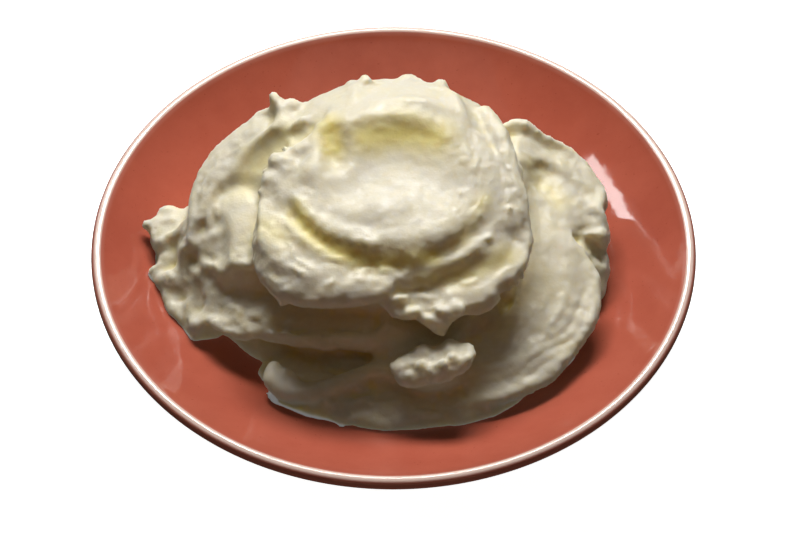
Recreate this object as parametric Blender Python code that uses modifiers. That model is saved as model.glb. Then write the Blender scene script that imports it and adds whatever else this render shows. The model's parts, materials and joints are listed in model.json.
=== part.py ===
"""A mound of mashed potato in its shallow coupe bowl, drawn in metres with +Z up.

The bowl is turned about Z and stands on its foot ring at Z = 0. The mound is built as a cook builds
it: dollops are heaped up, a spoon is drawn through them, and torn folds are laid on top.
Places on the mound are given in millimetres from the middle of the bowl's foot: X to the right, Y to
the back and Z up.
"""
import math

import bpy
import numpy as np

MM = 0.001

# Bowl, in millimetres
CREST_RADIUS = 88.2
RIM_HEIGHT = 31.0
LIP_RADIUS = 1.9
FLOOR_HEIGHT = 8.5
WALL_REACH = 86.6
WALL_RISE = 21.6
WALL_POWER = 3.2
WALL_THICKNESS = 4.2
FOOT_OUTER = 36.5
FOOT_INNER = 30.5
FOOT_RECESS = 3.0
TURNING_STEPS = 64
INNER_RINGS = 11

# Mound, in millimetres
RESTING_GAP = 0.4
GRAIN = 1.2
MOUND_TRIANGLES = 5800

# Broad spoon mark on top of the mound, in millimetres
HOLLOW_MIDDLE = (0.5, -5.5)
HOLLOW_REACH = (27.0, 20.5)
HOLLOW_FLOOR = 57.6
HOLLOW_TILT = 0.07
HOLLOW_BACK_RISE = 4.7
HOLLOW_FRONT_DROP = 2.5
HOLLOW_LOWEST = 44.0


def clear_scene():
    for leftover in list(bpy.data.objects):
        bpy.data.objects.remove(leftover, do_unlink=True)


def new_collection(name, hidden=False):
    collection = bpy.data.collections.new(name)
    collection.hide_render = hidden
    bpy.context.scene.collection.children.link(collection)
    return collection


def put_in(collection, obj):
    for holder in list(obj.users_collection):
        holder.objects.unlink(obj)
    collection.objects.link(obj)


def finish(obj, name, colour, roughness, subsurface=0.0):
    material = bpy.data.materials.new(name + "_finish")
    material.use_nodes = True
    shader = material.node_tree.nodes["Principled BSDF"]
    shader.inputs["Base Color"].default_value = (*colour, 1.0)
    shader.inputs["Roughness"].default_value = roughness
    shader.inputs["Subsurface Weight"].default_value = subsurface
    shader.inputs["Subsurface Scale"].default_value = 2 * MM
    obj.data.materials.clear()
    obj.data.materials.append(material)
    obj.name = name


# ---- the bowl


def inner_height(radius):
    """Height of the bowl's inner face at this radius."""
    return FLOOR_HEIGHT + WALL_RISE * (radius / WALL_REACH) ** WALL_POWER


def wall_profile(lowest, highest, count, drop=0.0):
    radii = np.linspace(lowest, highest, count)
    return [(radius, inner_height(radius) - drop) for radius in radii]


def lip_profile(count=8):
    """The rounded lip, from the inner wall over the crest to the outer wall."""
    slope = math.atan(WALL_RISE * WALL_POWER / WALL_REACH)
    angles = np.linspace(math.pi / 2 + slope, slope - math.pi / 2, count)
    middle = RIM_HEIGHT - LIP_RADIUS
    return [
        (CREST_RADIUS + LIP_RADIUS * math.cos(angle), middle + LIP_RADIUS * math.sin(angle))
        for angle in angles
    ]


def turned(name, profile):
    """A profile of (radius, height) in millimetres, turned about Z."""
    points = [(radius * MM, 0.0, height * MM) for radius, height in profile]
    edges = [(i, i + 1) for i in range(len(points) - 1)]
    mesh = bpy.data.meshes.new(name)
    mesh.from_pydata(points, edges, [])
    obj = bpy.data.objects.new(name, mesh)
    screw = obj.modifiers.new("turning", "SCREW")
    screw.steps = TURNING_STEPS
    screw.render_steps = TURNING_STEPS
    screw.use_merge_vertices = True
    screw.merge_threshold = 0.00001
    screw.use_normal_calculate = True
    screw.use_smooth_shade = True
    return obj


def bowl(collection):
    outer = wall_profile(FOOT_OUTER + 2, WALL_REACH - 2.6, 5, drop=WALL_THICKNESS)[::-1]
    foot = [
        (FOOT_OUTER, 0.6),
        (FOOT_OUTER - 0.6, 0.0),
        (FOOT_INNER + 0.6, 0.0),
        (FOOT_INNER, 0.6),
        (FOOT_INNER - 1.0, FOOT_RECESS),
        (0.0, FOOT_RECESS),
    ]
    inner = wall_profile(0.0, WALL_REACH - 0.6, INNER_RINGS)
    obj = turned("bowl", inner + lip_profile() + outer + foot)
    collection.objects.link(obj)
    finish(obj, "bowl", (0.40, 0.09, 0.055), 0.12)
    return obj


# ---- the mound's tools


def route(stations, steps=8):
    """Points along a stroke that eases from station to station."""
    table = np.array(stations, float)
    padded = np.vstack([2 * table[0] - table[1], table, 2 * table[-1] - table[-2]])
    places = []
    for a, b, c, d in zip(padded, padded[1:], padded[2:], padded[3:]):
        for t in np.linspace(0.0, 1.0, steps, endpoint=False):
            cubic = (-a + 3 * b - 3 * c + d) * t**3 + (2 * a - 5 * b + 4 * c - d) * t**2
            places.append(0.5 * (cubic + (c - a) * t + 2 * b))
    places.append(table[-1])
    return np.array(places)


def only(obj):
    bpy.ops.object.select_all(action="DESELECT")
    obj.select_set(True)
    bpy.context.view_layer.objects.active = obj


def dollop(place, half_sizes, lean=(0, 0, 0)):
    """A rounded dollop: half its length, width and thickness, and its lean in degrees."""
    bpy.ops.mesh.primitive_ico_sphere_add(
        subdivisions=4,
        radius=MM,
        location=[length * MM for length in place],
        rotation=[math.radians(angle) for angle in lean],
    )
    obj = bpy.context.object
    obj.scale = half_sizes
    bpy.ops.object.transform_apply(location=True, rotation=True, scale=True)
    return obj


def fold(stations, thickness):
    """A rolled fold of mash along a stroke, with its half thickness at each station."""
    curve = bpy.data.curves.new("fold", "CURVE")
    curve.dimensions = "3D"
    curve.bevel_depth = MM
    curve.bevel_resolution = 3
    curve.use_fill_caps = True
    points = route(stations)
    half = np.interp(
        np.linspace(0.0, 1.0, len(points)), np.linspace(0.0, 1.0, len(thickness)), thickness
    )
    spline = curve.splines.new("POLY")
    spline.points.add(len(points) - 1)
    for knot, point, radius in zip(spline.points, points, half):
        knot.co = (*(point * MM), 1.0)
        knot.radius = radius
    obj = bpy.data.objects.new("fold", curve)
    bpy.context.scene.collection.objects.link(obj)
    only(obj)
    bpy.ops.object.convert(target="MESH")
    ends = [dollop(stations[i], (0.98 * thickness[i],) * 3) for i in (0, -1)]
    return heap([obj] + ends)


def heap(pieces):
    bpy.ops.object.select_all(action="DESELECT")
    for piece in pieces:
        piece.select_set(True)
    bpy.context.view_layer.objects.active = pieces[0]
    bpy.ops.object.join()
    return bpy.context.object


def use(obj, kind, **settings):
    """Adds a modifier with these settings and applies it."""
    only(obj)
    modifier = obj.modifiers.new(kind.lower(), kind)
    for name, value in settings.items():
        setattr(modifier, name, value)
    bpy.ops.object.modifier_apply(modifier=modifier.name)


def knit(obj, passes):
    """Makes overlapping pieces one skin, then softens the joins."""
    use(obj, "REMESH", mode="VOXEL", voxel_size=GRAIN * MM)
    use(obj, "SMOOTH", factor=0.5, iterations=passes)


def points_of(obj):
    flat = np.empty(len(obj.data.vertices) * 3)
    obj.data.vertices.foreach_get("co", flat)
    return flat.reshape(-1, 3) / MM


def move_points(obj, points):
    obj.data.vertices.foreach_set("co", (points * MM).ravel())
    obj.data.update()


def nearest_on(path, points):
    """Distance to a path, the nearest point on it, how far along that lies, and the way it runs there."""
    distance = np.full(len(points), np.inf)
    foot = np.zeros_like(points)
    along = np.zeros(len(points))
    way = np.zeros_like(points)
    legs = len(path) - 1
    for leg in range(legs):
        start = path[leg]
        step = path[leg + 1] - start
        share = np.clip((points - start) @ step / (step @ step), 0.0, 1.0)
        place = start + share[:, None] * step
        gap = np.linalg.norm(points - place, axis=1)
        closer = gap < distance
        distance[closer] = gap[closer]
        foot[closer] = place[closer]
        along[closer] = (leg + share[closer]) / legs
        way[closer] = step / np.linalg.norm(step)
    return distance, foot, along, way


def spoon(obj, stations, radii, lean):
    """Draws a round spoon along the stations, which lie on the floor of the mark it leaves.

    lean is the way from that floor to the middle of the spoon's round.
    """
    out = np.array(lean, float)
    out /= np.linalg.norm(out)
    path = route(stations)
    size = np.interp(
        np.linspace(0.0, 1.0, len(path)), np.linspace(0.0, 1.0, len(radii)), radii
    )
    points = points_of(obj)
    distance, foot, along, _ = nearest_on(path + out * size[:, None], points)
    radius = np.interp(along, np.linspace(0.0, 1.0, len(size)), size)
    inside = distance < radius
    push = (radius[inside] / np.maximum(distance[inside], 1e-6))[:, None]
    points[inside] = foot[inside] + (points[inside] - foot[inside]) * push
    move_points(obj, points)


def smear(obj, stations, half_width, slope, band=4.0):
    """Flattens a band of the mound as the back of a spoon does.

    The band follows the stations and falls to their right by the slope. Only what faces up and lies
    within the band's own thickness is moved.
    """
    path = route(stations)
    points = points_of(obj)
    level = np.array((1, 1, 0))
    distance, foot, along, way = nearest_on(path * level, points * level)
    across = (points[:, 0] - foot[:, 0]) * way[:, 1] - (points[:, 1] - foot[:, 1]) * way[:, 0]
    height = np.interp(along, np.linspace(0.0, 1.0, len(path)), path[:, 2]) - slope * across
    share = soft_step((1.35 - distance / half_width) / 0.6)
    share *= np.clip(facing(obj)[:, 2] * 2.6 - 0.5, 0.0, 1.0)
    share *= np.clip(2.0 - np.abs(points[:, 2] - height) / band, 0.0, 1.0)
    points[:, 2] += share * (height - points[:, 2])
    move_points(obj, points)


def soft_step(value):
    share = np.clip(value, 0.0, 1.0)
    return share * share * (3.0 - 2.0 * share)


def facing(obj):
    flat = np.empty(len(obj.data.vertices) * 3)
    obj.data.vertices.foreach_get("normal", flat)
    return flat.reshape(-1, 3)


def fan(inner, outer, count, thickness):
    """Folds side by side, as a spoon lays them, spread from the inner stroke to the outer one."""
    inner, outer = np.array(inner, float), np.array(outer, float)
    strokes = [inner + share * (outer - inner) for share in np.linspace(0.0, 1.0, count)]
    return heap([fold([tuple(place) for place in stroke], thickness) for stroke in strokes])


# ---- the mound


def heaped_mass():
    """The mass of the mound: a low skirt, the tall middle and the lobes round it."""
    obj = heap(
        [
            dollop((4, 0, 12.5), (54, 50, 9.5)),
            dollop((-3, 11, 16), (58, 48, 35)),
            dollop((-1, 16, 38), (40, 33, 27.5)),
            dollop((-4, -9, 41), (35, 24, 14.5)),
            dollop((-25, 4, 45), (14, 20, 13)),
            dollop((-33, 24, 45), (14, 12, 12)),
            dollop((-43, 17, 38), (12, 13, 12)),
            dollop((-42, 1, 29), (18, 23, 12.5)),
            dollop((-51, -10, 26), (9, 13, 10)),
            dollop((-58, 3, 18), (14, 21, 12), (0, 0, -8)),
            dollop((47, 15, 28), (13, 15, 15)),
            dollop((38, 24, 38), (10, 9, 11)),
            dollop((53, 8, 20), (11, 16, 9)),
            dollop((45, -8, 22), (14, 24, 14)),
            dollop((34, -28, 17), (22, 21, 9)),
            dollop((0, -16, 20), (35, 18.5, 20)),
            dollop((16, -28, 20), (18, 16, 15)),
            dollop((4, -42, 13), (34, 18, 7)),
        ]
    )
    knit(obj, 10)
    return obj


def hollow_top(obj):
    """The broad spoon mark on top: a soft wall at the back and a tongue that rolls down at the front."""
    points = points_of(obj)
    across = (points[:, 0] - HOLLOW_MIDDLE[0]) / HOLLOW_REACH[0]
    back = (points[:, 1] - HOLLOW_MIDDLE[1]) / HOLLOW_REACH[1]
    out = np.hypot(across, back)
    turn = np.arctan2(back, across)
    wall = np.clip((out - 0.35) / 0.69, 0.0, 1.0) ** 1.4 * np.clip(np.sin(turn - 0.12), 0.0, 1.0) ** 0.8
    front = np.clip(1.5 * np.cos(turn + 1.2) - 0.25, 0.0, 1.0)
    drop = np.clip((out - 0.78) / 0.22, 0.0, 1.1) ** 2 * front
    height = HOLLOW_FLOOR + HOLLOW_TILT * (points[:, 1] - HOLLOW_MIDDLE[1])
    height += HOLLOW_BACK_RISE * wall - HOLLOW_FRONT_DROP * drop
    share = soft_step((1.12 - out) / 0.12) * (points[:, 2] > HOLLOW_LOWEST)
    points[:, 2] += share * (height - points[:, 2])
    move_points(obj, points)
    use(obj, "SMOOTH", factor=0.5, iterations=5)
    spoon(obj, [(-19, 17, 63), (-18, 12, 59.6), (-16.5, 6, 58)], (4, 5, 6), (0, -0.4, 1))


def mark_groove(obj):
    """The groove from the pocket round the left of the tall middle."""
    groove = [(-25, 18.5, 58), (-37, 16, 51), (-42.8, 11, 46), (-46.4, -4, 43.0), (-47, -12, 43.4)]
    spoon(obj, groove, (3, 7, 8, 9.5, 10), (-0.2, -0.3, 1))


def mark_back(obj):
    """The long spoon mark behind the crest."""
    mark = [(-34, 34, 46), (-18, 41, 46.4), (2, 44, 46), (24, 40, 44), (36, 31, 42)]
    spoon(obj, mark, (5, 8, 9, 8, 5), (0, 0.7, 1))


def undercut(obj):
    """The hollows under the front ledge and under the lip of the long sweep."""
    spoon(obj, [(-38, -25, 34), (-20, -31, 36), (-6, -32, 37)], (3, 6, 4), (0, -1, 0.1))
    spoon(obj, [(56, -14, 21), (55, -30, 21), (46, -42, 20), (34, -51, 18)], (6, 7, 7, 5), (1, -0.9, -0.2))


def ledge():
    """The rolled front of the tall middle, its lower lip, and the rim outside the groove."""
    return [
        dollop((31, 2, 47), (7, 20, 9.5), (0, 0, -6)),
        fold([(-34, -2, 50), (-34.5, -17, 48.4), (-22, -28.4, 47.2), (8, -29.6, 46.4)], (5, 5.8, 4.8, 4.2)),
        fold([(-38, -17, 46), (-33, -30.4, 45), (-18, -35.6, 45.4), (-3, -35, 46)], (3, 3.6, 3.2, 2.6)),
        dollop((-25, -20, 47), (14, 10, 6), (6, 0, 0)),
        dollop((-45, -6, 36.4), (11, 13, 6.6), (0, 0, 6)),
        dollop((-41, -12, 39.2), (8, 8, 5)),
        dollop((0, -22, 46.5), (22, 10, 6.5), (6, 0, 0)),
        dollop((25, -14, 47), (11, 13, 6), (4, 0, 20)),
        dollop((22, -23, 43), (14, 8, 6), (0, 0, 16)),
        dollop((-31, 9, 54), (6, 12, 4.6), (0, 0, 14)),
        dollop((-34, -3, 52.6), (5, 8, 4)),
        fold([(-34, -8, 54.4), (-24.6, -23.4, 52.8), (-7, -29.6, 50.2)], (1.4, 2.4, 1.4)),
        fold([(0, -29.6, 49.6), (18, -26, 50.2), (32.6, -5, 53.6)], (1.4, 2, 1.8)),
        fold([(-30, 27, 53), (-48.6, 20, 44.6), (-56, 1, 37), (-54.6, -9, 33.4)], (4, 5.6, 5.6, 4.4)),
    ]


def right_strands():
    """The strands down the right of the tall middle, and the long sweep laid round it."""
    inner = [(40, 16, 39.5), (42, -8, 34.6), (36, -31, 28.6), (19, -42, 27)]
    outer = [(50, 14, 34.5), (55, -10, 30.6), (51.5, -33, 25), (24, -53, 18.6)]
    return [
        fold([(27, 26, 57), (33.4, 7, 55.4), (38.4, -18, 48)], (2.4, 3.4, 2.2)),
        fold([(24, 14, 58.6), (28, -1, 55.4), (25.5, -13, 53.2)], (2, 2.6, 1.8)),
        fan(inner, outer, 5, (3.4, 3.8, 3.6, 2.6)),
    ]


def front_lobes():
    """The ridge with its knobbly edge, the second tier, the flake on it, and the skirt below."""
    return [
        fold([(-2, -33.6, 42.6), (18, -33, 43), (35, -23.6, 45), (38.6, -15, 46.4)], (3, 3.8, 3.2, 2.2)),
        fold([(14, -35, 44.6), (28.6, -30, 46.4), (38.6, -16, 49)], (1.6, 3, 1.6)),
        heap([dollop((4 + 10 * k, -36.8 + k, 42.2), (7, 4.5, 2.5), (12, 0, 8 * k)) for k in range(3)]),
        heap([dollop((1 + 4 * k, -36.4 - k, 43 - 0.4 * k), (3.4, 3, 2.7)) for k in range(4)]),
        dollop((12.8, -41.4, 39.4), (3.2, 2.8, 2.6)),
        dollop((13.4, -42.4, 37.8), (2.2, 2, 2)),
        fold([(51, -5, 33), (58.8, -21, 28.8), (45, -45.4, 22.8), (18, -54, 18.6)], (1.4, 2.6, 2.8, 2)),
        dollop((-43, -23, 24.6), (12, 9.5, 4.6), (6, -8, -24)),
        dollop((-30, -28.6, 26), (17, 9, 4.6), (8, 0, -20)),
        dollop((-9, -33, 27.4), (22, 7, 5), (12, 0, -6)),
        dollop((12, -35.4, 28), (16, 7.4, 5), (14, 0, 8)),
        fold([(-57, -24.5, 24.4), (-44, -31.8, 25), (-28, -35, 27.8), (-3, -34.6, 31), (6, -36, 30)],
             (1, 2.8, 3.8, 3.4, 3)),
        dollop((-4, -43, 14.6), (20, 10, 6), (8, 0, 4)),
        dollop((12, -45, 16.4), (20, 11, 7), (12, 0, 4)),
        heap([dollop((6.4 + 6 * k, -49.6, 31.4 + 1.7 * k), (6, 5, 3), (0, -8, 12)) for k in range(3)]),
        dollop((12, -46.4, 25), (9, 6, 7), (0, 0, 12)),
        dollop((12, -42, 20), (20, 9, 7)),
        dollop((-24, -50, 13.4), (16, 6, 4), (0, 0, -20)),
        dollop((2, -53.4, 16.4), (24, 7.4, 3.8)),
        dollop((24, -50, 16), (16, 8, 5), (0, 0, 22)),
        dollop((-41, -24, 15), (15, 7, 6), (0, 0, -42)),
        fold([(-14.5, -56, 15.6), (-15.2, -60.6, 13.6)], (2.4, 0.8)),
        fold([(-28, -49, 15.6), (-40.6, -48, 15)], (2.8, 1)),
    ]


def finger():
    """A rolled finger of mash under the second tier."""
    hook = [(-34.6, -42.8, 21.4), (-34.6, -47, 20.4), (-26, -50.2, 19.6), (-15, -48, 20.4), (-7, -44.6, 22)]
    return [
        fold(hook, (2.2, 3.2, 3.4, 3.2, 2.6)),
        dollop((-20, -50, 14.4), (14, 4, 3.6), (0, 0, -8)),
        dollop((-23, -44.6, 15.6), (11, 5, 4), (0, 0, -10)),
        dollop((-27, -41, 13.6), (15, 8, 4.6), (0, 0, -16)),
    ]


def left_tips():
    """The lobes at the far left and the tips pulled out of them."""
    return [
        dollop((-61, 5, 25), (13, 10, 6), (0, -6, 0)),
        fold([(-65, 7, 26.4), (-72, 8, 26), (-77, 8.6, 25.4)], (4.4, 2.4, 0.9)),
        dollop((-60, -8, 21.6), (12, 8, 6), (0, -4, 0)),
        fold([(-63, -5, 21.6), (-69, -7.6, 20.6), (-73.5, -6.6, 20.6)], (5, 3, 1.2)),
        dollop((-59, 1, 29.6), (6, 8, 6)),
        dollop((-57, -19, 17), (8, 10, 4.6), (0, 0, 24)),
        fold([(-69, -9, 20.5), (-65, -19, 19.4), (-61, -25, 18.4)], (2, 2.6, 1.4)),
    ]


def right_lobes():
    """The lobes behind the right strands."""
    return [
        dollop((38, 25, 45), (8, 8, 6), (0, 14, -10)),
        dollop((50, 20, 34.4), (12, 9, 6), (0, 8, -8)),
        dollop((42, 13, 37.4), (9, 13, 6)),
        dollop((43, 22, 40), (10, 7, 6), (0, 12, 0)),
        dollop((51, 11, 33), (10, 13, 6), (4, 6, 0)),
        dollop((57.4, 13, 31), (7, 9, 7), (0, 10, -10)),
        dollop((57, 2, 29), (8, 8, 6), (0, 8, 4)),
        dollop((60, -5, 22), (5, 7, 7)),
        dollop((59.6, -11, 20), (4, 5, 4.6)),
        fold([(36, 27, 48.4), (51, 27, 39.6), (57, 24, 36)], (2.4, 2.6, 2)),
    ]


def crest():
    """The raised back edge of the hollow and the peaks along it."""
    return [
        fold([(-12, 36, 57.6), (-12, 24, 61.4), (-14.4, 13, 59)], (2.4, 2.4, 1.2)),
        fold([(12, 36, 56.4), (18.5, 24, 60), (22, 14, 58.6)], (2.6, 3, 1.4)),
        fold([(-13, 20.6, 61.6), (2, 23.4, 63.2), (17, 21.4, 61.4)], (1.6, 2.2, 1.6)),
        fold([(-33, 28, 54), (-35.8, 32, 57), (-36.4, 33.4, 59.4)], (4, 1.8, 0.7)),
        fold([(-8.5, 34, 61), (-8.6, 37.8, 62.4)], (2.4, 0.7)),
        fold([(1, 37.5, 57.4), (4, 39.6, 56.6), (8, 38.6, 57.2)], (1.4, 2.2, 1.4)),
        fold([(14.5, 36.6, 57), (16.2, 38.4, 56.6)], (2, 0.9)),
    ]


def back_folds():
    """Two folds laid round the back, one above the other."""
    return [
        fold([(-46, 29, 36), (-22, 51, 31), (0, 56, 29), (22, 50, 27), (38, 38, 28)], (3, 5, 5, 4.5, 3)),
        fold([(-48, 34, 20), (-26, 52, 18), (0, 59, 17.6), (24, 53, 18), (42, 38, 20)], (3, 4, 4.4, 4, 3)),
    ]


def mark_ledge(obj):
    """The crisp crease round the tongue, the hollow in the ledge, and the trough at its right."""
    crease = [
        (-30.4, -9, 56.6),
        (-22, -21.4, 54),
        (-6, -27.4, 51.2),
        (11, -26, 51.4),
        (26, -8.4, 55.6),
        (27.6, 8, 58.4),
    ]
    spoon(obj, crease, (0.8, 1.4, 1.8, 1.8, 1.2, 0.6), (0, 0.5, 1))
    smear(obj, [(-38, -7, 53.6), (-31, -24, 52.4), (-12, -32.6, 50.2), (1, -32.6, 49.2)], 4.6, 0.14, 3.0)
    spoon(obj, [(-36.6, -14, 52.9), (-34, -17.6, 52.3), (-31, -20, 52.4)], (5, 7, 5), (-0.2, -0.3, 1))
    trough = [(5, -31, 48.6), (14, -30.8, 48), (23, -28.6, 48.2), (31, -24, 48.8), (36, -17, 50)]
    spoon(obj, trough, (3, 4.6, 5.4, 5, 3), (0.15, -0.25, 1))


def smear_sides(obj):
    """The flat bands a spoon left round the tall middle."""
    smear(obj, [(18, -35, 45.6), (28, -31.6, 46.8), (39, -17, 49.6)], 3.6, 0.22, 2.6)
    smear(obj, [(37, 21, 46), (43, 19.6, 43.2), (50, 17, 40), (56, 10, 36.6)], 9.0, -0.15, 6.0)
    smear(obj, [(45, 13, 38.6), (47.2, -6, 36.4), (43, -26, 30.6), (27, -40, 26.6)], 6.0, -0.06)
    smear(obj, [(-40, 26, 52.4), (-54, 11, 44.6), (-56, 1, 41), (-54.6, -9, 37)], 4.6, 0.27)
    smear(obj, [(-56, -20, 26), (-43, -27.6, 28.8), (-22, -31.6, 31), (-8, -32.6, 32)], 5.0, 0.35)
    mark_groove(obj)
    smear(obj, [(-54, -6, 38), (-54.6, -20, 28), (-55, -25, 25)], 5.0, 0.45)
    spoon(obj, [(-59, -7, 29.6), (-60, -14, 26), (-59, -21, 22.6)], (6, 8, 6), (-0.3, -0.2, 1))


def space_in_bowl(cutters):
    """All the room above the bowl's inner face, less the gap that keeps the mash off it."""
    floor = [
        (radius, height + RESTING_GAP)
        for radius, height in wall_profile(0, WALL_REACH - 0.6, INNER_RINGS)
    ]
    above = 3 * RIM_HEIGHT
    obj = turned("space_in_bowl", [(0.0, above), (floor[-1][0], above)] + floor[::-1])
    cutters.objects.link(obj)
    obj.display_type = "WIRE"
    obj.hide_render = True
    return obj


def mash(collection, cutters):
    obj = heaped_mass()
    hollow_top(obj)
    mark_groove(obj)
    mark_back(obj)
    undercut(obj)
    knit(obj, 2)
    obj = heap([obj] + ledge() + right_strands() + back_folds())
    knit(obj, 2)
    mark_ledge(obj)
    obj = heap([obj] + front_lobes() + left_tips() + right_lobes() + crest())
    knit(obj, 2)
    spoon(obj, [(-46, -32.6, 18.4), (-20, -37, 20.4), (2, -41.6, 21.6)], (4.6, 6, 3), (0, -1, 0.15))
    obj = heap([obj] + finger())
    knit(obj, 2)
    smear_sides(obj)
    knit(obj, 1)
    share = MOUND_TRIANGLES / (2 * len(obj.data.polygons))
    use(obj, "DECIMATE", ratio=share)
    use(obj, "BOOLEAN", operation="INTERSECT", solver="EXACT", object=space_in_bowl(cutters))
    only(obj)
    bpy.ops.object.shade_smooth()
    put_in(collection, obj)
    finish(obj, "mash", (0.86, 0.80, 0.60), 0.5, 0.3)
    return obj


clear_scene()
side_dish = new_collection("mashed_potato_side")
cutting_tools = new_collection("cutters", hidden=True)
bowl(side_dish)
mash(side_dish, cutting_tools)
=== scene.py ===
import json
import math

import bpy
import numpy as np
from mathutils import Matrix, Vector

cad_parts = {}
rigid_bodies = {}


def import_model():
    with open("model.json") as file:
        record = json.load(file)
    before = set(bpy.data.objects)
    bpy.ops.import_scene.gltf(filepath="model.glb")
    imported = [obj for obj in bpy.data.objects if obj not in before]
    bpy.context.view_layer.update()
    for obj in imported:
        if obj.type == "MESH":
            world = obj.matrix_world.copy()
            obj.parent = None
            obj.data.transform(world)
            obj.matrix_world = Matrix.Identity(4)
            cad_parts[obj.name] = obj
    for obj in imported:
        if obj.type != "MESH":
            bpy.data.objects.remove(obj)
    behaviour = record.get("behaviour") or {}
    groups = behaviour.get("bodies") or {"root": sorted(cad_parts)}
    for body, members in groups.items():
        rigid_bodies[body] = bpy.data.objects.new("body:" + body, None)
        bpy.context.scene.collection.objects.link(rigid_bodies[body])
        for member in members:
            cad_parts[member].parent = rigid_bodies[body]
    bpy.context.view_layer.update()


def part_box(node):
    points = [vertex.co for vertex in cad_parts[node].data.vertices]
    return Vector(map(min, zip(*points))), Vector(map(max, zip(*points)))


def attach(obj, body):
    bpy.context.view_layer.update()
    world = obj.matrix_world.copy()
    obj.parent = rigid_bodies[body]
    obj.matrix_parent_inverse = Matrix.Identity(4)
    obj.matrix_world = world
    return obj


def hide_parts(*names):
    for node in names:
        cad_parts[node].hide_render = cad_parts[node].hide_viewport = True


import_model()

mm = 0.001


def deselectAll():
    for thing in bpy.context.selected_objects:
        thing.select_set(False)


def pick(thing):
    deselectAll()
    thing.select_set(True)
    bpy.context.view_layer.objects.active = thing


def applied(thing, kind, **settings):
    pick(thing)
    modifier = thing.modifiers.new(kind, kind)
    for key, value in settings.items():
        setattr(modifier, key, value)
    bpy.ops.object.modifier_apply(modifier=modifier.name)


def joined(things, name):
    deselectAll()
    for thing in things:
        thing.select_set(True)
    bpy.context.view_layer.objects.active = things[0]
    bpy.ops.object.join()
    thing = bpy.context.object
    thing.name = name
    thing.data.name = name
    return thing


def readPoints(thing, what="co"):
    flat = np.empty(len(thing.data.vertices) * 3)
    thing.data.vertices.foreach_get(what, flat)
    flat = flat.reshape(-1, 3)
    return flat / mm if what == "co" else flat


def writePoints(thing, points):
    thing.data.vertices.foreach_set("co", (points * mm).ravel())
    thing.data.update()


def neighbourPairs(thing):
    pairs = np.empty(len(thing.data.edges) * 2, int)
    thing.data.edges.foreach_get("vertices", pairs)
    return pairs.reshape(-1, 2)


# all sizes and places are millimetres from the middle of the bowl's foot: x right, y back, z up

mashLook = {
    "roughSkin": 0.9,  # mesh size while heaping
    "fineSkin": 0.8,  # mesh size at the end
    "heapSmoothing": 14,
    "ridgeReach": 8,  # smoothing passes that ridges and creases are measured against
    "ridgeGain": 0.85,  # how much they are then pushed out and in
    "restingGap": 0.35,  # clear of the bowl
    "colour": (0.75, 0.705, 0.59),
    "butterColour": (0.77, 0.71, 0.535),
    "paleColour": (0.82, 0.79, 0.70),
    # painted shade: the yellow tone painted into creases, recesses and shaded hollows
    "paintedShadeColour": (0.88, 0.76, 0.27),
    "mottleSize": 7,
    "speckSize": 1.4,
    "glossSize": 3,
    "curdBump": (2.6, 0.25),  # size and depth
    "grainBump": (0.8, 0.1),
    "glow": 3.0,  # how far light travels inside
    "glowByColour": (1.0, 0.93, 0.76),
    "glowShare": 0.9,
    "roughness": (0.36, 0.58),
}

bowlBox = [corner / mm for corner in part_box("bowl")]

bowlShape = {
    "rimRadius": round(bowlBox[1].x, 1),
    "rimHeight": round(bowlBox[1].z, 1),
    "lipRadius": 1.9,
    "floorHeight": 8.5,
    "wallReach": 86.6,
    "wallRise": 21.6,
    "wallPower": 3.2,
    "wallThickness": 4.2,
    "footOuter": 36.5,
    "footInner": 30.5,
    "footRecess": 3.0,
    "footEase": 0.6,
    "turns": 256,
}


def bowlInside(radius):
    share = radius / bowlShape["wallReach"]
    return bowlShape["floorHeight"] + bowlShape["wallRise"] * share ** bowlShape["wallPower"]


# an eased route through the stations
def smoothRoute(stations, steps=16):
    table = np.array(stations, float)
    padded = np.vstack([2 * table[0] - table[1], table, 2 * table[-1] - table[-2]])
    places = []
    for a, b, c, d in zip(padded, padded[1:], padded[2:], padded[3:]):
        for t in np.linspace(0, 1, steps, endpoint=False):
            cubic = (-a + 3 * b - 3 * c + d) * t**3 + (2 * a - 5 * b + 4 * c - d) * t**2
            places.append(0.5 * (cubic + (c - a) * t + 2 * b))
    places.append(table[-1])
    return np.array(places)


def spread(values, count):
    return np.interp(np.linspace(0, 1, count), np.linspace(0, 1, len(values)), values)


# an egg-shaped lump of mash
def dollop(place, halfSizes, lean=(0, 0, 0), rounds=5):
    bpy.ops.mesh.primitive_ico_sphere_add(
        subdivisions=rounds,
        radius=mm,
        location=[v * mm for v in place],
        rotation=[math.radians(a) for a in lean],
    )
    thing = bpy.context.object
    thing.scale = halfSizes
    bpy.ops.object.transform_apply(location=True, rotation=True, scale=True)
    return thing


def dollops(rows):
    return [dollop(*row) for row in rows]


# a rolled fold of mash along the stations
def fold(stations, thickness):
    route = smoothRoute(stations, 8)
    curve = bpy.data.curves.new("fold", "CURVE")
    curve.dimensions = "3D"
    curve.bevel_depth = mm
    curve.bevel_resolution = 5
    curve.use_fill_caps = True
    spline = curve.splines.new("POLY")
    spline.points.add(len(route) - 1)
    for knot, place, radius in zip(spline.points, route, spread(thickness, len(route))):
        knot.co = (*(place * mm), 1.0)
        knot.radius = radius
    thing = bpy.data.objects.new("fold", curve)
    bpy.context.scene.collection.objects.link(thing)
    pick(thing)
    bpy.ops.object.convert(target="MESH")
    thing = bpy.context.object
    ends = [dollop(stations[i], (0.98 * thickness[i],) * 3, rounds=4) for i in (0, -1)]  # rounded ends
    return joined([thing] + ends, "fold")


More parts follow.
